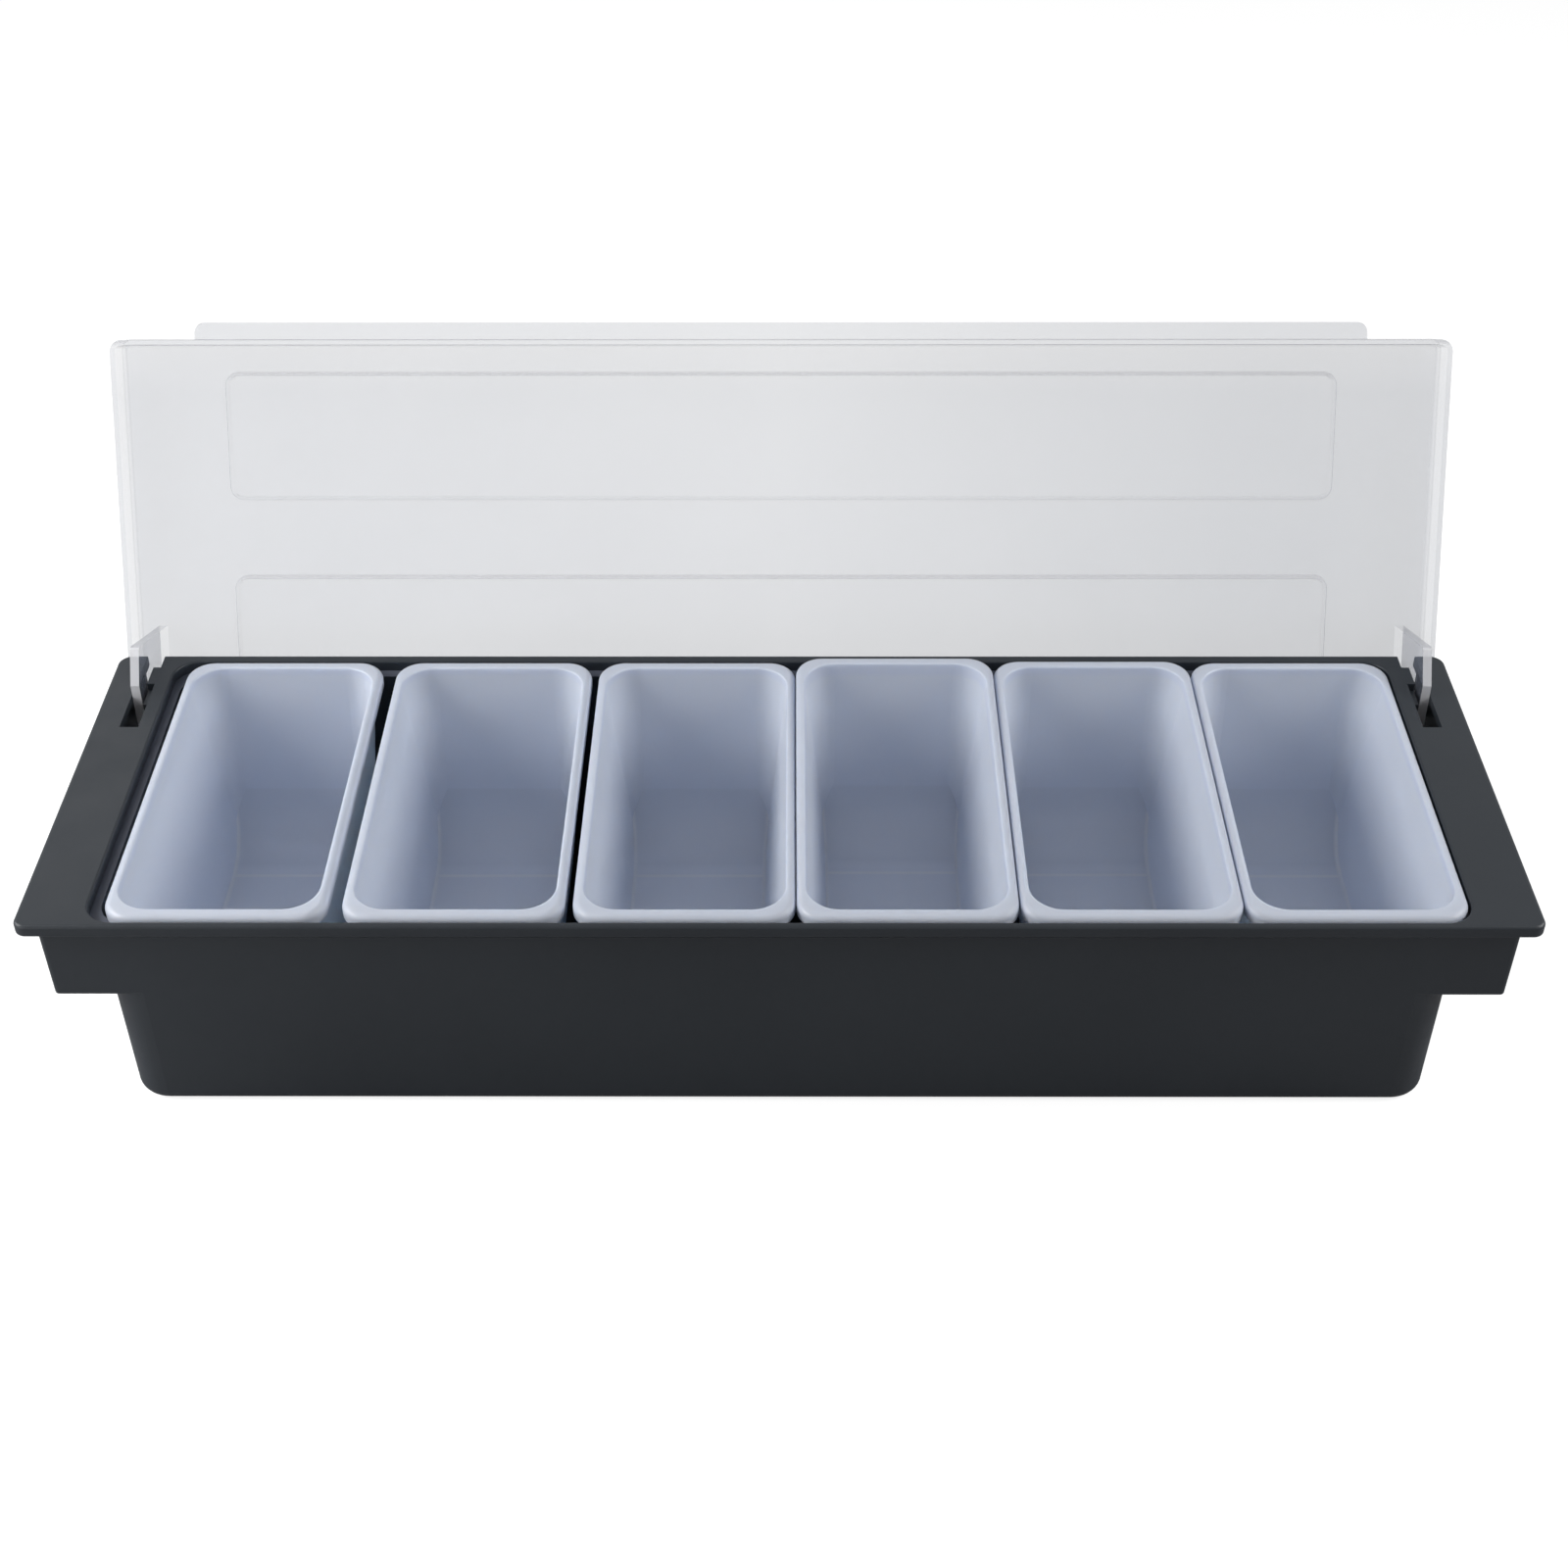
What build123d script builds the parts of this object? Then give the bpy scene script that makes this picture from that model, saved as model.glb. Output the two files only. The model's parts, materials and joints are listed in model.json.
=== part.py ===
"""Bar garnish tray: a dark tub with a stepped rim, lift-out inserts and a clear lid hinged at the rear.

Lengths are in millimetres and angles in degrees. X runs along the tray, Y from its front to its rear
and Z up. The origin is the centre of the tub's underside. The lid stands open, leaning back on its stop.
"""
import os
from math import asin, cos, degrees, hypot, radians, sin, sqrt, tan

from build123d import *

os.makedirs("parts", exist_ok=True)

# Insert: one tapered box with a rolled rim and a down-turned lip
insert_count = 6
insert_width = 73.0
insert_length = 145.5
insert_corner = 9.75
insert_rim_side = 3.2
insert_rim_end = 4.8
insert_wall = 1.2
insert_lip = 5.0
insert_floor_gap = 8.0
insert_draft = 6.15
insert_cove = 25.5
insert_inner_corner = 11.5
insert_crease = 1.2
insert_outer_edge = 2.4
insert_inner_edge = 0.7

# Row of inserts: the play along the row, shared out before, between and after the inserts
row_spare = 14.0
row_gap_shares = (0.382, 0.336, 0.179, 0.018, 0.018, 0.018, 0.049)
rear_lift_shares = (0.0, 0.0, 0.0, 0.44, 0.14, 0.0)

# Rim of the tray, with the recess that the inserts hang in
insert_play = 0.75
rim_front_land = 2.5
rim_rear_land = 4.1
end_flange = 22.4
rim_face = 4.6
rim_edge = 1.3
rim_lower_edge = 0.6
rim_front_corner = 4.0
rim_rear_corner = 5.0
flange_thickness = 3.0
recess_depth = 4.2
recess_corner = 9.5
recess_edge = 0.8
ledge_end = 2.9
ledge_side = 3.9

# Tub
tray_height = 86.0
tub_wall = 2.2
tub_end_wall = 3.0
tub_floor = 2.4
tub_draft = 1.0
tub_corner = 14.0
tub_lower_edge = 4.0
tub_inner_edge = 2.0
haunch = 3.8
haunch_slope = 45.0

# Grip box under each end flange, open from below
grip_overhang = 5.95
grip_depth = 34.8
grip_wall = 2.5
grip_corner = 2.0
grip_lower_edge = 1.2

# Hinge: a pin across a slot at each rear corner
hinge_setback = 17.3
hinge_drop = 13.2
pin_diameter = 4.0
pin_chamfer = 0.4
pin_clearance = 0.03
ear_clearance = 0.06
slot_inset = 10.1
slot_width = 6.8
slot_front_gap = 0.6
stop_gap = 0.3
cheek_thickness = 2.8
cheek_lap = 1.2
cheek_front = 27.6
cheek_depth = 24.0
block_front = 18.6
block_rear = 8.1

# Lid: a flat panel with a skirt on its front and both sides
lid_open_angle = 116.0
lid_side_inset = 1.6
lid_front_inset = 0.5
lid_tail = 12.2
lid_panel = 2.0
lid_skirt = 13.2
lid_wall = 1.9
lid_seat_gap = 0.25
lid_corner = 4.5
lid_edge = 1.2
lid_inner_fillet = 1.7
finger_lip = 6.3
finger_lip_thickness = 1.8
finger_lip_inset = 31.6
finger_lip_corner = 4.0
relief_gap = 0.5

# Rib frames and gate mark on the panel's inner face
frame_length = 415.6
frame_width = 47.2
frame_inset = 12.3
frame_corner = 5.0
frame_rib = 1.0
frame_height = 0.6
gate_radius = 1.6
gate_depth = 0.4

# Ears of the lid, measured from the pin
ear_side_gap = 0.4
ear_radius = 9.9
ear_front = 26.0
ear_front_lean = 2.3
ear_foot_depth = 13.5
ear_toe = 11.9
ear_toe_depth = 15.9
ear_corner = 1.5

# Extra length of cutting bodies past the faces that they cut
overrun = 2.0

# Places that follow from the sizes above
recess_half_x = (insert_count * insert_width + row_spare) / 2
recess_half_y = insert_length / 2 + insert_play
rim_half_x = recess_half_x + end_flange
rim_front_y = -recess_half_y - rim_front_land
rim_rear_y = recess_half_y + rim_rear_land
ledge_z = tray_height - recess_depth
insert_depth = insert_lip + ledge_z - tub_floor - insert_floor_gap - insert_wall
flange_under_z = tray_height - flange_thickness
cavity_half_x = recess_half_x - ledge_end
cavity_half_y = recess_half_y - ledge_side
cavity_corner = insert_corner
tub_half_x = cavity_half_x + tub_end_wall
tub_half_y = cavity_half_y + tub_wall
grip_half_x = rim_half_x - grip_overhang
pin_radius = pin_diameter / 2
hinge_y = rim_rear_y - hinge_setback
hinge_z = tray_height - hinge_drop
slot_outer_x = rim_half_x - slot_inset
slot_inner_x = slot_outer_x - slot_width
slot_centre_x = slot_outer_x - slot_width / 2
cheek_face_x = slot_inner_x + cheek_thickness
block_centre_x = slot_inner_x + cheek_thickness / 2
cheek_inner_x = slot_inner_x - cheek_lap
ear_inner_x = cheek_face_x + ear_side_gap
ear_outer_x = slot_outer_x - ear_side_gap
lid_half_x = rim_half_x - lid_side_inset

# Places on the closed lid, from the pin: rearwards and upwards
lid_front = rim_front_y + lid_front_inset - hinge_y
lid_length = lid_tail - lid_front
panel_under = hinge_drop + lid_seat_gap + lid_skirt
skirt_foot = panel_under - lid_skirt
ear_front_top = ear_front + ear_front_lean
ear_at_rim = ear_front + ear_front_lean * (hinge_drop + ear_foot_depth) / (panel_under + ear_foot_depth)
ear_corner_at_flange = sqrt(ear_front**2 + ear_foot_depth**2 - (hinge_drop - flange_thickness) ** 2)
slot_front_y = hinge_y - max(ear_at_rim, ear_corner_at_flange) - slot_front_gap
relief_radius = hypot(hinge_drop, hinge_setback) + relief_gap

# Where the ear's straight lower edge runs into its round nose
toe_reach = hypot(ear_toe, ear_toe_depth)
toe_along = (ear_radius / toe_reach) ** 2
toe_across = ear_radius * sqrt(toe_reach**2 - ear_radius**2) / toe_reach**2
ear_tangent = (
    ear_toe_depth * toe_across - ear_toe * toe_along,
    -ear_toe_depth * toe_along - ear_toe * toe_across,
)

# The open ears come down onto the sill of the notch in the rear wall of each grip box
lean = radians(lid_open_angle - 90)
sill_run = tub_half_y - hinge_y
sill_drop = (ear_radius + sill_run * sin(lean)) / cos(lean)
sill_z = hinge_z - sill_drop - stop_gap

# The lid's own frame, turned open about the pin
opening = radians(lid_open_angle)
lid_frame = Plane(origin=(0, hinge_y, hinge_z), x_dir=(1, 0, 0), z_dir=(0, sin(opening), cos(opening)))


def lid_height(shape):
    """Height of the centre of a face or an edge above the pin, on the closed lid."""
    return lid_frame.to_local_coords(shape.center()).Z


def trapezoid(half_top, half_foot, depth):
    """Corners of a section that narrows downwards from zero height."""
    return (-half_top, 0), (-half_foot, -depth), (half_foot, -depth), (half_top, 0)


def insert_space(grow):
    """Coved and tapered hollow of an insert under its rim, grown outwards by the given amount."""
    depth = insert_depth + grow
    half_length = insert_length / 2 - insert_rim_end + grow
    half_width = insert_width / 2 - insert_rim_side + grow
    inset = depth * tan(radians(insert_draft))
    with BuildPart() as space:
        with BuildSketch(Plane.YZ) as long_section:
            with BuildLine():
                Polyline(*trapezoid(half_length, half_length - inset, depth), close=True)
            make_face()
            fillet(long_section.vertices().group_by(Axis.Y)[0], radius=insert_cove + grow)
        extrude(amount=half_width, both=True)
        with BuildSketch(Plane.XZ):
            with BuildLine():
                Polyline(*trapezoid(half_width, half_width - inset, depth), close=True)
            make_face()
        extrude(amount=half_length, both=True, mode=Mode.INTERSECT)
        sides = space.faces().sort_by(Axis.X)
        creases = [edge for edge in sides[0].edges() + sides[-1].edges() if edge.center().Z < -insert_lip]
        fillet(creases, radius=insert_crease)
        with BuildSketch():
            RectangleRounded(2 * half_width, 2 * half_length, insert_inner_corner + grow)
        extrude(amount=-depth, taper=insert_draft, mode=Mode.INTERSECT)
    return space.part


def insert_form():
    """One insert with the centre of its rim's top at the origin."""
    with BuildPart() as form:
        with BuildSketch(Plane.XY.offset(-insert_lip)):
            RectangleRounded(insert_width, insert_length, insert_corner)
        extrude(amount=insert_lip)
        fillet(form.edges().group_by(Axis.Z)[-1], radius=insert_outer_edge)
        with BuildSketch(Plane.XY.offset(-insert_lip)):
            RectangleRounded(
                insert_width - 2 * insert_wall, insert_length - 2 * insert_wall, insert_corner - insert_wall
            )
        extrude(amount=insert_lip - insert_wall, mode=Mode.SUBTRACT)
        add(insert_space(insert_wall))
        add(insert_space(0), mode=Mode.SUBTRACT)
        fillet(form.faces().sort_by(Axis.Z)[-1].inner_wires()[0].edges(), radius=insert_inner_edge)
    return form.part


# Rim plate with its rounded corners
with BuildPart() as rim_form:
    with BuildSketch(Plane.XY.offset(tray_height - rim_face)) as rim_plan:
        with Locations((0, (rim_front_y + rim_rear_y) / 2)):
            Rectangle(2 * rim_half_x, rim_rear_y - rim_front_y)
        fillet(rim_plan.vertices().group_by(Axis.Y)[0], radius=rim_front_corner)
        fillet(rim_plan.vertices().group_by(Axis.Y)[-1], radius=rim_rear_corner)
    extrude(amount=rim_face)
    fillet(rim_form.edges().group_by(Axis.Z)[-1], radius=rim_edge)
    fillet(rim_form.edges().group_by(Axis.Z)[0], radius=rim_lower_edge)

# Outer form of the grip boxes, joined through the tub
with BuildPart() as grip_form:
    with BuildSketch(Plane.XY.offset(flange_under_z)):
        RectangleRounded(2 * grip_half_x, 2 * tub_half_y, grip_corner)
    extrude(amount=-(grip_depth - flange_thickness), taper=tub_draft)
    fillet(grip_form.edges().group_by(Axis.Z)[0], radius=grip_lower_edge)

# Outer form of the tub
with BuildPart() as tub_form:
    with BuildSketch(Plane.XY.offset(flange_under_z)):
        RectangleRounded(2 * tub_half_x, 2 * tub_half_y, tub_corner)
    extrude(amount=-flange_under_z, taper=tub_draft)
    fillet(tub_form.edges().group_by(Axis.Z)[0], radius=tub_lower_edge)

# Haunch that carries the ledge, all round the top of the tub
with BuildPart() as haunch_form:
    with BuildSketch(Plane.XY.offset(flange_under_z)):
        RectangleRounded(2 * (tub_half_x + haunch), 2 * (tub_half_y + haunch), tub_corner + haunch)
    extrude(amount=flange_thickness - rim_face)
    extrude(haunch_form.faces().sort_by(Axis.Z)[0], amount=haunch, taper=haunch_slope)

# Inner form of the tub, down to its floor
with BuildPart() as cavity_form:
    with BuildSketch(Plane.XY.offset(ledge_z)):
        RectangleRounded(2 * cavity_half_x, 2 * cavity_half_y, cavity_corner)
    extrude(amount=-(ledge_z - tub_floor), taper=tub_draft)
    fillet(cavity_form.edges().group_by(Axis.Z)[0], radius=tub_inner_edge)

# Base tray: one moulding
with BuildPart() as base_tray:
    add(rim_form.part)
    add(grip_form.part)
    with BuildSketch(Plane.XY.offset(flange_under_z)):
        Rectangle(2 * (grip_half_x - grip_wall), 2 * (tub_half_y - tub_wall))
    extrude(amount=-grip_depth, taper=tub_draft, mode=Mode.SUBTRACT)
    add(tub_form.part)
    add(haunch_form.part)
    with BuildSketch(Plane.XY.offset(ledge_z)):
        RectangleRounded(2 * recess_half_x, 2 * recess_half_y, recess_corner)
    extrude(amount=recess_depth, mode=Mode.SUBTRACT)
    fillet(base_tray.faces().sort_by(Axis.Z)[-1].inner_wires()[0].edges(), radius=recess_edge)
    add(cavity_form.part, mode=Mode.SUBTRACT)
    for side in (-1, 1):
        with BuildSketch(Plane.XY.offset(sill_z)):
            with Locations((side * slot_centre_x, (slot_front_y + rim_rear_y + overrun) / 2)):
                Rectangle(slot_width, rim_rear_y + overrun - slot_front_y)
        extrude(amount=tray_height + overrun - sill_z, mode=Mode.SUBTRACT)
        with BuildSketch(Plane.YZ.offset(side * cheek_face_x)):
            with BuildLine():
                Polyline(
                    (rim_rear_y - cheek_front, flange_under_z),
                    (rim_rear_y - cheek_front, tray_height - cheek_depth),
                    (tub_half_y - tub_wall / 2, tray_height - cheek_depth),
                    (tub_half_y - tub_wall / 2, flange_under_z),
                    close=True,
                )
            make_face()
        extrude(amount=-side * (cheek_thickness + cheek_lap))
        with BuildSketch(Plane.XY.offset(flange_under_z)):
            with Locations((side * block_centre_x, rim_rear_y - (block_front + block_rear) / 2)):
                Rectangle(cheek_thickness, block_front - block_rear)
        extrude(amount=flange_thickness)
        with BuildSketch(Plane.YZ.offset(side * (cheek_inner_x - overrun))):
            with Locations((hinge_y, hinge_z)):
                Circle(pin_radius + pin_clearance)
        extrude(amount=side * (grip_half_x - cheek_inner_x + 2 * overrun), mode=Mode.SUBTRACT)
base_tray.part.label = "base_tray"
export_step(base_tray.part, "parts/base_tray.step")

# Hinge pins, from the cheek's inner face to the end of the grip box
for side, name in ((-1, "hinge_pin_left"), (1, "hinge_pin_right")):
    with BuildPart() as hinge_pin:
        with BuildSketch(Plane.YZ.offset(side * cheek_inner_x)):
            with Locations((hinge_y, hinge_z)):
                Circle(pin_radius)
        extrude(amount=side * (grip_half_x - cheek_inner_x))
        chamfer(hinge_pin.edges().filter_by(GeomType.CIRCLE), length=pin_chamfer)
    hinge_pin.part.label = name
    export_step(hinge_pin.part, f"parts/{name}.step")

# Inserts, side by side in the recess, each standing on its lip; a raised rear tilts one about its front lip
plain_insert = insert_form()
left_edge = -recess_half_x
for index in range(insert_count):
    left_edge += row_spare * row_gap_shares[index]
    tilt = asin(insert_lip * rear_lift_shares[index] / insert_length)
    centre_y = -insert_length / 2 + insert_length / 2 * cos(tilt) - insert_lip * sin(tilt)
    centre_z = ledge_z + insert_length / 2 * sin(tilt) + insert_lip * cos(tilt)
    with BuildPart() as insert:
        with Locations(Location((left_edge + insert_width / 2, centre_y, centre_z), (degrees(tilt), 0, 0))):
            add(plain_insert)
    insert.part.label = f"insert_{index + 1}"
    export_step(insert.part, f"parts/insert_{index + 1}.step")
    left_edge += insert_width

# Hollow of the lid between its skirts, open to the rear
with BuildPart() as lid_space:
    with BuildSketch(lid_frame.offset(skirt_foot)) as space_plan:
        with Locations((0, (lid_front + lid_wall + lid_tail + overrun) / 2)):
            Rectangle(2 * (lid_half_x - lid_wall), lid_length - lid_wall + overrun)
        fillet(space_plan.vertices().group_by(Axis.Y)[0], radius=lid_corner - lid_wall)
    extrude(amount=lid_skirt)
    fillet(lid_space.faces().sort_by(lid_height)[-1].edges(), radius=lid_inner_fillet)

# Lid: panel and skirt, finger lip, relief around the rear edge of the rim, rib frames and ears
with BuildPart() as lid:
    with BuildSketch(lid_frame.offset(skirt_foot)):
        with Locations((0, (lid_front + lid_tail) / 2)):
            RectangleRounded(2 * lid_half_x, lid_length, lid_corner)
    extrude(amount=lid_skirt + lid_panel)
    fillet(lid.faces().sort_by(lid_height)[-1].edges(), radius=lid_edge)
    add(lid_space.part, mode=Mode.SUBTRACT)
    with BuildSketch(Plane(origin=lid_frame.origin, x_dir=lid_frame.y_dir, z_dir=(1, 0, 0))):
        Circle(relief_radius)
    extrude(amount=lid_half_x + overrun, both=True, mode=Mode.SUBTRACT)
    with BuildSketch(lid_frame.offset(skirt_foot)) as lip_plan:
        with Locations((0, lid_front - finger_lip / 2 + lid_wall / 4)):
            Rectangle(2 * (lid_half_x - finger_lip_inset), finger_lip + lid_wall / 2)
        fillet(lip_plan.vertices().group_by(Axis.Y)[0], radius=finger_lip_corner)
    extrude(amount=finger_lip_thickness)
    frame_offset = frame_inset + frame_width / 2
    for frame_centre in (lid_front + frame_offset, lid_tail - frame_offset):
        with BuildSketch(lid_frame.offset(panel_under - frame_height)):
            with Locations((0, frame_centre)):
                RectangleRounded(frame_length, frame_width, frame_corner)
                RectangleRounded(
                    frame_length - 2 * frame_rib,
                    frame_width - 2 * frame_rib,
                    frame_corner - frame_rib,
                    mode=Mode.SUBTRACT,
                )
        extrude(amount=frame_height)
    with BuildSketch(lid_frame.offset(panel_under)):
        with Locations((0, (lid_front + lid_tail) / 2)):
            Circle(gate_radius)
    extrude(amount=gate_depth, mode=Mode.SUBTRACT)
    for side in (-1, 1):
        ear_origin = (side * ear_inner_x, hinge_y, hinge_z)
        ear_plane = Plane(origin=ear_origin, x_dir=lid_frame.y_dir, z_dir=(1, 0, 0))
        with BuildSketch(ear_plane) as ear_side:
            with BuildLine():
                Polyline(
                    (ear_radius, 0),
                    (ear_radius, panel_under),
                    (-ear_front_top, panel_under),
                    (-ear_front, -ear_foot_depth),
                    (-ear_toe, -ear_toe_depth),
                    ear_tangent,
                )
                RadiusArc(ear_tangent, (ear_radius, 0), ear_radius)
            make_face()
            Circle(pin_radius + ear_clearance, mode=Mode.SUBTRACT)
            fillet(ear_side.vertices().sort_by_distance((-ear_front, -ear_foot_depth))[0], radius=ear_corner)
        extrude(amount=side * (ear_outer_x - ear_inner_x))
lid.part.label = "lid"
export_step(lid.part, "parts/lid.step")
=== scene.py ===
"""Bar garnish tray with its lid open: materials, camera, light and floor over the fixed frame."""

import json
from math import cos, radians, sin

import bpy
from mathutils import Matrix, Vector

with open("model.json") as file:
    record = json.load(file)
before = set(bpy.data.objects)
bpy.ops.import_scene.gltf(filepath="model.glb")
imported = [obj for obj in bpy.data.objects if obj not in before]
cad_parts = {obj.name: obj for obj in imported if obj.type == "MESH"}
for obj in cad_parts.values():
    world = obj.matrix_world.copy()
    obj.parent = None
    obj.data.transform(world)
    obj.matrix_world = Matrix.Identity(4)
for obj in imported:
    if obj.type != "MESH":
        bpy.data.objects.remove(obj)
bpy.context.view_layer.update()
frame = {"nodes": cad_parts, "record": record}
scene = bpy.context.scene

# Measures of the part that its finishes follow, in metres and degrees
TRAY_HEIGHT = 0.086
LEDGE_HEIGHT = 0.0818
INSERT_WIDTH = 0.073
INSERT_FLOOR = 0.0116
MOUTH_HALF_WIDTH = 0.0333
FOOT_HALF_WIDTH = 0.0252
COVE_TOP = 0.0355
COVE_FOOT = 0.03695
RIM_FOOT = TRAY_HEIGHT - 0.003
LID_ANGLE = 116.0
LID_TOP = 0.22
HINGE = (0.0, 0.0603, 0.0728)
EAR_SIDE = 0.220
EAR_FRONT = 0.010

# Lid's panel: places along it from the hinge, negative towards the lip, and its two rib frames
PANEL_END = -0.134
FRAME_MIDDLE = -0.0618
FRAME_SPREAD = 0.0381
FRAME_HALF_LENGTH = 0.2078
FRAME_HALF_WIDTH = 0.0236
FRAME_CORNER = 0.005

# Where a painted band or line of light or shade starts and ends to fade, from its middle
LEDGE_FADE = (0.0002, 0.0005)
CREASE_FADE = (0.0006, 0.0016)
COVE_FOOT_FADE = (0.0004, 0.0011)
FRAME_FADE = (0.0003, 0.0010)

# Opacity of the lid's haze, with painted shade that makes it denser to the right and at the far
# left, and what the painted shade of frames and edges and the painted highlight of the ears add to
# it
HAZE_MIDDLE = 0.218
HAZE_RIGHT_PAINTED_SHADE = 0.287
HAZE_LEFT_PAINTED_SHADE = 0.034
SHADE_EXTRA = 0.16
EAR_PAINTED_HIGHLIGHT = 0.45

# The darker and the lighter colour of each tone, and the share of the noise that parts them
NOISE_SPAN = (0.3, 0.7)
TONES = {
    "charcoal": ((0.020, 0.025, 0.032), (0.027, 0.033, 0.041)),
    # ledge tone: painted reflection of the white inserts, paler than the charcoal
    "ledge_painted_reflection": ((0.112, 0.124, 0.160), (0.124, 0.136, 0.174)),
    "insert_wall": ((0.675, 0.735, 0.865), (0.70, 0.76, 0.89)),
    # insert floor tone: painted light, lighter where the floor faces up
    "insert_floor_painted_light": ((0.71, 0.765, 0.88), (0.74, 0.795, 0.91)),
    # insert cove tone: painted shade on the coved ends
    "insert_cove_painted_shade": ((0.65, 0.705, 0.82), (0.67, 0.725, 0.84)),
    "insert_rim": ((0.645, 0.708, 0.875), (0.665, 0.728, 0.895)),
    # insert line tone: painted highlight lines at the creases and the coves' feet
    "insert_painted_highlight_line": ((0.78, 0.82, 0.90), (0.82, 0.86, 0.93)),
    "lid_frost": ((0.27, 0.30, 0.37), (0.30, 0.33, 0.40)),
    # lid edge tone: painted shade on the edge-on faces and along the frames
    "lid_edge_painted_shade": ((0.52, 0.53, 0.57), (0.58, 0.59, 0.63)),
    # lid ear tone: painted highlight, near white, on the ears' front faces
    "lid_ear_painted_highlight": ((0.84, 0.84, 0.87), (0.87, 0.87, 0.90)),
    "pin": ((0.016, 0.018, 0.021), (0.028, 0.030, 0.034)),
    "floor_bounce": ((0.42, 0.42, 0.43), (0.44, 0.44, 0.45)),
    "floor_seen": ((0.88, 0.88, 0.88), (0.90, 0.90, 0.90)),
}

FLOOR_HALF_SIZE = 6.0
FLOOR_GLOW = 1.62
FLOOR_GLOW_SHARE = 0.50
WORLD_STRENGTH = 0.20
WORLD_MIRRORED = 0.35

# Name, place, target, width, height and watts of each light
LIGHTS = (
    ("left", (-0.95, -0.10, 0.62), (-0.05, 0, 0.08), 0.7, 0.6, 9.2),
    ("right", (1.00, -0.05, 0.66), (0.05, 0, 0.08), 0.7, 0.6, 7.0),
    ("front_left", (-0.52, -0.42, 0.10), (-0.24, -0.08, 0.05), 0.25, 0.15, 0.45),
    ("rear", (-0.80, 1.20, 1.00), (-0.10, 0, 0.08), 1.0, 0.7, 1.2),
)

# The photograph's camera: place in metres, pitch, yaw and roll in radians, lens in millimetres
CAMERA_PLACE = (0.00485, -0.6233, TRAY_HEIGHT + 0.48667)
CAMERA_PITCH, CAMERA_YAW, CAMERA_ROLL = 0.66374, 0.00526, -0.00289
CAMERA_LENS = 52.01


# Shader helpers

def new_material(name):
    material = bpy.data.materials.new(name)
    material.use_nodes = True
    tree = material.node_tree
    tree.nodes.clear()
    return material, tree


def add_node(tree, kind, **settings):
    node = tree.nodes.new(kind)
    for key, value in settings.items():
        if key.startswith("in_"):
            node.inputs[key[3:].replace("_", " ")].default_value = value
        else:
            setattr(node, key, value)
    return node


def principled(tree, **settings):
    shader = tree.nodes.new("ShaderNodeBsdfPrincipled")
    for key, value in settings.items():
        shader.inputs[key.replace("_", " ")].default_value = value
    output = tree.nodes.new("ShaderNodeOutputMaterial")
    tree.links.new(shader.outputs["BSDF"], output.inputs["Surface"])
    return shader


def coordinates(tree, space="Object"):
    return tree.nodes.new("ShaderNodeTexCoord").outputs[space]


def axes(tree, space="Object"):
    parts = tree.nodes.new("ShaderNodeSeparateXYZ")
    tree.links.new(coordinates(tree, space), parts.inputs[0])
    return parts.outputs


def dot(tree, vector, direction):
    product = add_node(tree, "ShaderNodeVectorMath", operation="DOT_PRODUCT")
    tree.links.new(vector, product.inputs[0])
    product.inputs[1].default_value = direction
    return product.outputs["Value"]


def facing(tree, direction):
    """How squarely the surface faces a direction of the object's own space, from -1 to 1."""
    return dot(tree, coordinates(tree, "Normal"), direction)


def maths(tree, operation, first, second=0.0):
    node = add_node(tree, "ShaderNodeMath", operation=operation)
    for socket, value in zip(node.inputs, (first, second)):
        if isinstance(value, (int, float)):
            socket.default_value = value
        else:
            tree.links.new(value, socket)
    return node.outputs[0]


def absolute(tree, value):
    return maths(tree, "ABSOLUTE", value)


def distance_from(tree, value, middle):
    return absolute(tree, maths(tree, "SUBTRACT", value, middle))


def product_of(tree, first, *others):
    for other in others:
        first = maths(tree, "MULTIPLY", first, other)
    return first


def span(tree, source, low, high, out_low, out_high):
    """The source's range from low to high, stretched to another range and held at its ends."""
    node = add_node(tree, "ShaderNodeMapRange", clamp=True)
    bounds = {"From Min": low, "From Max": high, "To Min": out_low, "To Max": out_high}
    for key, value in bounds.items():
        node.inputs[key].default_value = value
    tree.links.new(source, node.inputs["Value"])
    return node.outputs["Result"]


def fade_in(tree, source, low, high):
    return span(tree, source, low, high, 0.0, 1.0)


def fade_out(tree, source, low, high):
    return span(tree, source, low, high, 1.0, 0.0)


def noise(tree, scale, detail=3.0, roughness=0.5):
    node = add_node(
        tree, "ShaderNodeTexNoise", in_Scale=scale, in_Detail=detail, in_Roughness=roughness
    )
    tree.links.new(coordinates(tree), node.inputs["Vector"])
    return node.outputs["Fac"]


def mottled(tree, tone, scale, detail=3.0):
    """A colour that wanders between a tone's darker and lighter one."""
    node = tree.nodes.new("ShaderNodeValToRGB")
    for element, place, colour in zip(node.color_ramp.elements, NOISE_SPAN, TONES[tone]):
        element.position = place
        element.color = (*colour, 1.0)
    tree.links.new(noise(tree, scale, detail), node.inputs["Fac"])
    return node.outputs["Color"]


def uneven(tree, low, high, scale, detail, roughness=0.5):
    """A value that wanders between two bounds."""
    return span(tree, noise(tree, scale, detail, roughness), *NOISE_SPAN, low, high)


def bump(tree, height, strength, distance, normal=None):
    node = add_node(tree, "ShaderNodeBump", in_Strength=strength, in_Distance=distance)
    tree.links.new(height, node.inputs["Height"])
    if normal is not None:
        tree.links.new(normal, node.inputs["Normal"])
    return node.outputs["Normal"]


def blend(tree, share, first, second):
    node = add_node(tree, "ShaderNodeMix", data_type="RGBA")
    tree.links.new(share, node.inputs["Factor"])
    tree.links.new(first, node.inputs["A"])
    tree.links.new(second, node.inputs["B"])
    return node.outputs["Result"]


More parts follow.
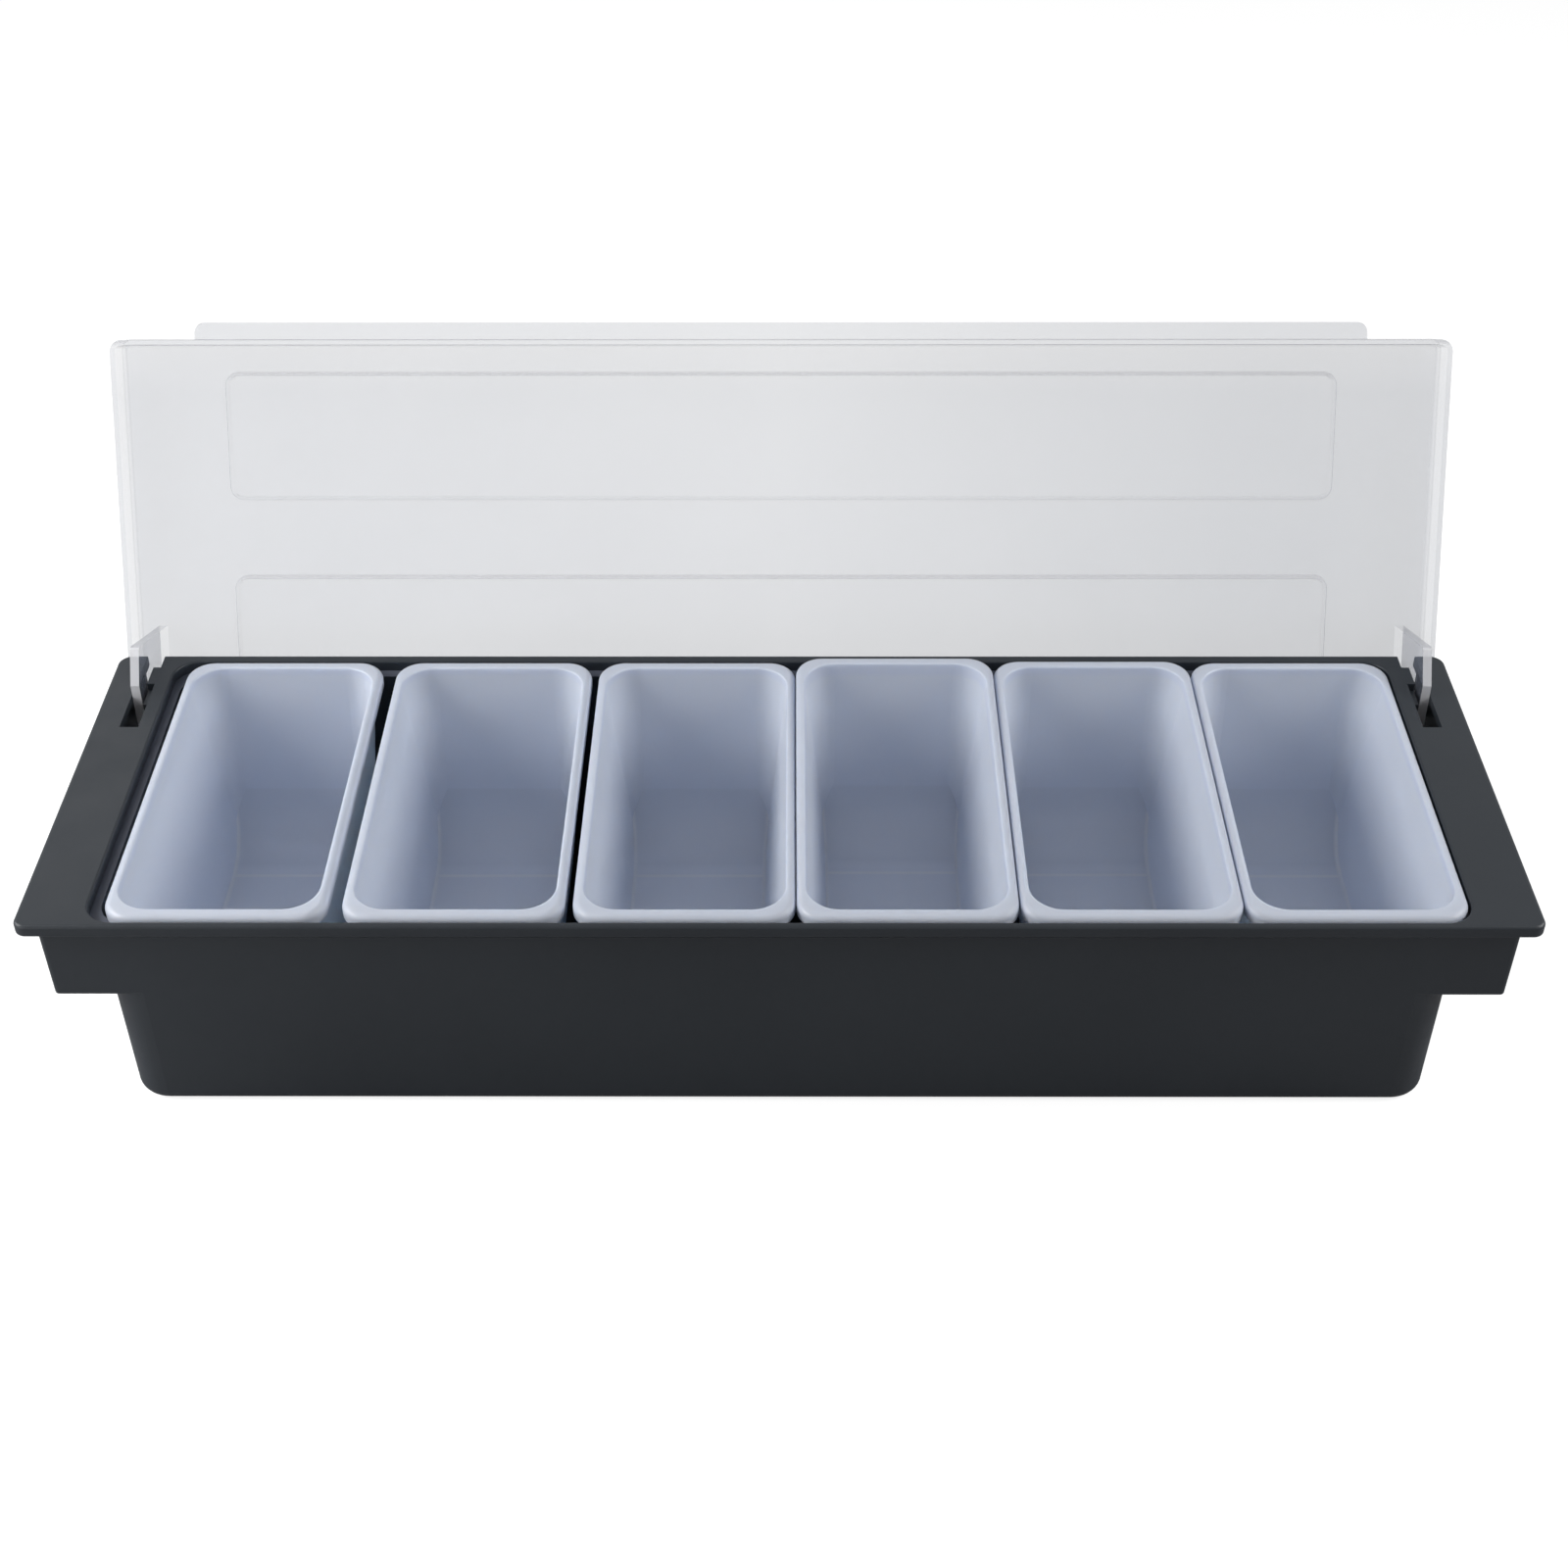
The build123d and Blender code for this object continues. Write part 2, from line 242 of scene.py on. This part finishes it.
def seen_directly(tree, path):
    """1 for the camera's own rays and the rays that go on through the clear plastic."""
    return maths(
        tree, "MAXIMUM", path.outputs["Is Camera Ray"], path.outputs["Is Transmission Ray"]
    )


# Charcoal plastic of the tray: satin skin with a fine grain; the upward faces of the ledge under
# the inserts are painted paler, a painted reflection of the white inserts

def tray_plastic():
    material, tree = new_material("tray_charcoal")
    shader = principled(tree, IOR=1.48)
    link = tree.links.new
    level = distance_from(tree, axes(tree)["Z"], LEDGE_HEIGHT)
    upward = fade_in(tree, facing(tree, (0, 0, 1)), 0.8, 0.95)
    # Painted reflection: the ledge's upward faces get the paler tone
    ledge_painted_reflection = product_of(tree, upward, fade_out(tree, level, *LEDGE_FADE))
    tone = blend(tree, ledge_painted_reflection, mottled(tree, "charcoal", 9.0, 4.0), mottled(tree, "ledge_painted_reflection", 9.0, 4.0))
    link(tone, shader.inputs["Base Color"])
    link(uneven(tree, 0.36, 0.48, 60.0, 5.0, 0.6), shader.inputs["Roughness"])
    grain = bump(tree, noise(tree, 2600.0, 2.0), 0.10, 0.0002)
    link(bump(tree, noise(tree, 22.0, 2.0), 0.12, 0.0006, grain), shader.inputs["Normal"])
    return material


# White plastic of the inserts: light passes a little way into the walls, the coved ends carry
# painted shade, the flat floors are painted lighter where they face up, and painted highlight lines
# run along the side walls' creases and the coves' feet

def insert_plastic():
    material, tree = new_material("insert_white")
    shader = principled(tree, IOR=1.46, Subsurface_Weight=0.6, Subsurface_Scale=0.004)
    shader.inputs["Subsurface Radius"].default_value = (0.9, 1.0, 1.1)
    link = tree.links.new
    place = axes(tree)
    height = place["Z"]
    rise = facing(tree, (0, 0, 1))
    low = fade_out(tree, height, COVE_TOP - 0.001, COVE_TOP + 0.001)
    # Painted light: the flat floor that faces up gets a lighter tone
    painted_floor_light = product_of(tree, fade_in(tree, rise, 0.97, 0.995), low)
    # Painted shade: the coved ends, picked out by how they face, get a darker tone
    painted_cove_shade = product_of(tree, fade_in(tree, rise, 0.115, 0.16), low)
    side = product_of(tree, distance_from(tree, axes(tree, "Generated")["X"], 0.5), INSERT_WIDTH)
    wall = span(tree, height, INSERT_FLOOR, TRAY_HEIGHT, FOOT_HALF_WIDTH, MOUTH_HALF_WIDTH)
    crease = fade_out(tree, maths(tree, "SUBTRACT", wall, side), *CREASE_FADE)
    foot = distance_from(tree, absolute(tree, place["Y"]), COVE_FOOT)
    foot = fade_out(tree, foot, *COVE_FOOT_FADE)
    upward = fade_in(tree, rise, 0.2, 0.4)
    # Painted highlight lines along the side walls' creases and the coves' feet
    line = product_of(tree, maths(tree, "MAXIMUM", crease, foot), upward, low)
    rim = fade_in(tree, height, RIM_FOOT, RIM_FOOT + 0.002)
    tone = blend(
        tree, painted_cove_shade, mottled(tree, "insert_wall", 14.0), mottled(tree, "insert_cove_painted_shade", 18.0)
    )
    tone = blend(tree, painted_floor_light, tone, mottled(tree, "insert_floor_painted_light", 18.0))
    tone = blend(tree, line, tone, mottled(tree, "insert_painted_highlight_line", 40.0))
    tone = blend(tree, rim, tone, mottled(tree, "insert_rim", 14.0))
    link(tone, shader.inputs["Base Color"])
    link(uneven(tree, 0.28, 0.38, 90.0, 4.0), shader.inputs["Roughness"])
    link(bump(tree, noise(tree, 30.0, 2.0), 0.08, 0.0005), shader.inputs["Normal"])
    return material


# Rib frames moulded on the lid's panel, as a share of shade along their rounded outlines. The
# upright ends are fainter, and so is the long edge of the frame by the lip that is nearer the hinge

def frame_shade(tree, across, along):
    side = maths(tree, "SUBTRACT", absolute(tree, across), FRAME_HALF_LENGTH - FRAME_CORNER)
    end = distance_from(tree, distance_from(tree, along, FRAME_MIDDLE), FRAME_SPREAD)
    end = maths(tree, "SUBTRACT", end, FRAME_HALF_WIDTH - FRAME_CORNER)
    squares = [
        maths(tree, "POWER", maths(tree, "MAXIMUM", value, 0.0), 2.0) for value in (side, end)
    ]
    outside = maths(tree, "SQRT", maths(tree, "ADD", *squares))
    inside = maths(tree, "MINIMUM", maths(tree, "MAXIMUM", side, end), 0.0)
    distance = maths(tree, "ADD", outside, inside)
    line = fade_out(tree, distance_from(tree, distance, FRAME_CORNER - 0.0004), *FRAME_FADE)
    upright = span(tree, maths(tree, "SUBTRACT", side, end), -0.002, 0.002, 1.0, 0.2)
    inner_edge = FRAME_MIDDLE - FRAME_SPREAD + FRAME_HALF_WIDTH
    faint = span(tree, distance_from(tree, along, inner_edge), 0.014, 0.020, 0.35, 1.0)
    return product_of(tree, line, upright, faint)


# Clear plastic of the lid with a light frost. Painted shade makes it denser along its frames, on
# the faces that stand square to the panel, towards the right, at the far left and lower down;
# painted light makes it thinner by the lip; it is thinner on the side faces; a painted highlight
# makes it most dense and near white on the front faces of its ears

def lid_plastic():
    material, tree = new_material("lid_clear")
    shader = principled(tree, IOR=1.4)
    link = tree.links.new
    lean = radians(LID_ANGLE)
    outward = Vector((0, sin(lean), cos(lean)))
    place = axes(tree)
    reach = add_node(tree, "ShaderNodeVectorMath", operation="SUBTRACT")
    link(coordinates(tree), reach.inputs[0])
    reach.inputs[1].default_value = HINGE
    along = dot(tree, reach.outputs["Vector"], (0, cos(lean), -sin(lean)))
    depth = dot(tree, reach.outputs["Vector"], outward)

    sideways = fade_in(tree, absolute(tree, facing(tree, (1, 0, 0))), 0.6, 0.9)
    # Painted shade: faces that stand square to the panel, apart from the side faces, get a denser
    # frost
    painted_edge_shade = fade_out(tree, absolute(tree, facing(tree, outward)), 0.55, 0.95)
    painted_edge_shade = maths(tree, "MAXIMUM", maths(tree, "SUBTRACT", painted_edge_shade, sideways), 0.0)
    shade = maths(tree, "MAXIMUM", painted_edge_shade, frame_shade(tree, place["X"], along))
    # Painted highlight: the ears' front faces get a near-white, denser frost
    ear_painted_highlight = product_of(
        tree,
        fade_in(tree, absolute(tree, place["X"]), EAR_SIDE, EAR_SIDE + 0.001),
        fade_out(tree, depth, EAR_FRONT, EAR_FRONT + 0.002),
        fade_in(tree, facing(tree, -outward), 0.5, 0.8),
    )
    tone = blend(tree, shade, mottled(tree, "lid_frost", 11.0), mottled(tree, "lid_edge_painted_shade", 25.0))
    tone = blend(tree, ear_painted_highlight, tone, mottled(tree, "lid_ear_painted_highlight", 11.0))
    link(tone, shader.inputs["Base Color"])
    link(uneven(tree, 0.36, 0.46, 70.0, 4.0), shader.inputs["Roughness"])
    link(bump(tree, noise(tree, 9.0, 2.0), 0.03, 0.0005), shader.inputs["Normal"])

    # Painted shade and light in the haze: denser to the right, at the far left and lower down,
    # thinner by the lip
    haze_and_painted_shade = maths(
        tree,
        "ADD",
        span(tree, place["X"], 0.0, 0.20, HAZE_MIDDLE, HAZE_RIGHT_PAINTED_SHADE),
        span(tree, place["X"], -0.22, 0.0, HAZE_LEFT_PAINTED_SHADE, 0.0),
    )
    haze_and_painted_shade = product_of(
        tree,
        haze_and_painted_shade,
        span(tree, place["Z"], TRAY_HEIGHT, LID_TOP, 1.08, 0.94),
        span(tree, along, PANEL_END, PANEL_END + 0.018, 0.84, 1.0),
        uneven(tree, 0.985, 1.015, 20.0, 2.0),
        span(tree, sideways, 0.0, 1.0, 1.0, 0.7),
    )
    haze_and_painted_shade = maths(tree, "ADD", haze_and_painted_shade, product_of(tree, shade, SHADE_EXTRA))
    haze_and_painted_shade = maths(tree, "ADD", haze_and_painted_shade, product_of(tree, ear_painted_highlight, EAR_PAINTED_HIGHLIGHT))
    link(haze_and_painted_shade, shader.inputs["Alpha"])
    return material


# Dark plastic of the hinge pins

def pin_plastic():
    material, tree = new_material("pin_dark")
    shader = principled(tree, IOR=1.5)
    link = tree.links.new
    link(mottled(tree, "pin", 300.0), shader.inputs["Base Color"])
    link(uneven(tree, 0.35, 0.5, 500.0, 3.0), shader.inputs["Roughness"])
    return material


finishes = {
    "tray_plastic": tray_plastic(),
    "insert_plastic": insert_plastic(),
    "lid_plastic": lid_plastic(),
    "pin_plastic": pin_plastic(),
}
slot_of = {entry["node"]: entry["material_slot"] for entry in frame["record"]["subparts"]}
for name, node in frame["nodes"].items():
    for slot in node.material_slots:
        slot.material = finishes[slot_of[name]]


# Floor: white to the eye, with the object's contact shadow

def make_floor():
    mesh = bpy.data.meshes.new("floor")
    half = FLOOR_HALF_SIZE
    corners = [(-half, -half, 0), (half, -half, 0), (half, half, 0), (-half, half, 0)]
    mesh.from_pydata(corners, [], [(0, 1, 2, 3)])
    floor = bpy.data.objects.new("floor", mesh)
    scene.collection.objects.link(floor)
    material, tree = new_material("floor_white")
    link = tree.links.new
    seen = seen_directly(tree, tree.nodes.new("ShaderNodeLightPath"))
    paper = add_node(tree, "ShaderNodeBsdfDiffuse")
    tone = blend(
        tree, seen, mottled(tree, "floor_bounce", 3.0, 2.0), mottled(tree, "floor_seen", 3.0, 2.0)
    )
    link(tone, paper.inputs["Color"])
    glow = add_node(tree, "ShaderNodeEmission", in_Color=(1, 1, 1, 1), in_Strength=FLOOR_GLOW)
    mix = tree.nodes.new("ShaderNodeMixShader")
    link(product_of(tree, seen, FLOOR_GLOW_SHARE), mix.inputs["Fac"])
    link(paper.outputs[0], mix.inputs[1])
    link(glow.outputs[0], mix.inputs[2])
    output = tree.nodes.new("ShaderNodeOutputMaterial")
    link(mix.outputs[0], output.inputs["Surface"])
    floor.data.materials.append(material)


make_floor()


# World: soft even surround, white where it is seen directly and dimmer where it is mirrored

def make_world():
    world = bpy.data.worlds.new("studio")
    scene.world = world
    world.use_nodes = True
    tree = world.node_tree
    tree.nodes.clear()
    link = tree.links.new
    path = tree.nodes.new("ShaderNodeLightPath")
    mirrored = product_of(tree, path.outputs["Is Glossy Ray"], WORLD_MIRRORED)
    strength = maths(tree, "MAXIMUM", seen_directly(tree, path), mirrored)
    background = add_node(tree, "ShaderNodeBackground", in_Color=(1, 1, 1, 1))
    link(maths(tree, "ADD", strength, WORLD_STRENGTH), background.inputs["Strength"])
    output = tree.nodes.new("ShaderNodeOutputWorld")
    link(background.outputs[0], output.inputs["Surface"])


make_world()


# Soft box lights

def soft_light(name, place, target, width, height, watts):
    lamp = bpy.data.lights.new(name, "AREA")
    lamp.shape = "RECTANGLE"
    lamp.size = width
    lamp.size_y = height
    lamp.energy = watts
    lamp_object = bpy.data.objects.new(name, lamp)
    lamp_object.location = place
    aim = Vector(target) - Vector(place)
    lamp_object.rotation_euler = aim.to_track_quat("-Z", "Y").to_euler()
    scene.collection.objects.link(lamp_object)


for light in LIGHTS:
    soft_light(*light)


# Camera: the photograph's place, lens and small roll

def make_camera():
    turn = Matrix.Rotation(CAMERA_YAW, 3, "Z")
    forward = turn @ Vector((0, cos(CAMERA_PITCH), -sin(CAMERA_PITCH)))
    up = turn @ Vector((0, sin(CAMERA_PITCH), cos(CAMERA_PITCH)))
    right = turn @ Vector((1, 0, 0))
    tilt, level = sin(CAMERA_ROLL), cos(CAMERA_ROLL)
    right, up = right * level + up * tilt, up * level - right * tilt
    data = bpy.data.cameras.new("camera")
    data.sensor_width = 36.0
    data.lens = CAMERA_LENS
    data.clip_start = 0.05
    camera = bpy.data.objects.new("camera", data)
    rotation = Matrix((right, up, -forward)).transposed()
    camera.matrix_world = Matrix.Translation(CAMERA_PLACE) @ rotation.to_4x4()
    scene.collection.objects.link(camera)
    scene.camera = camera


make_camera()

scene.view_settings.view_transform = "Standard"
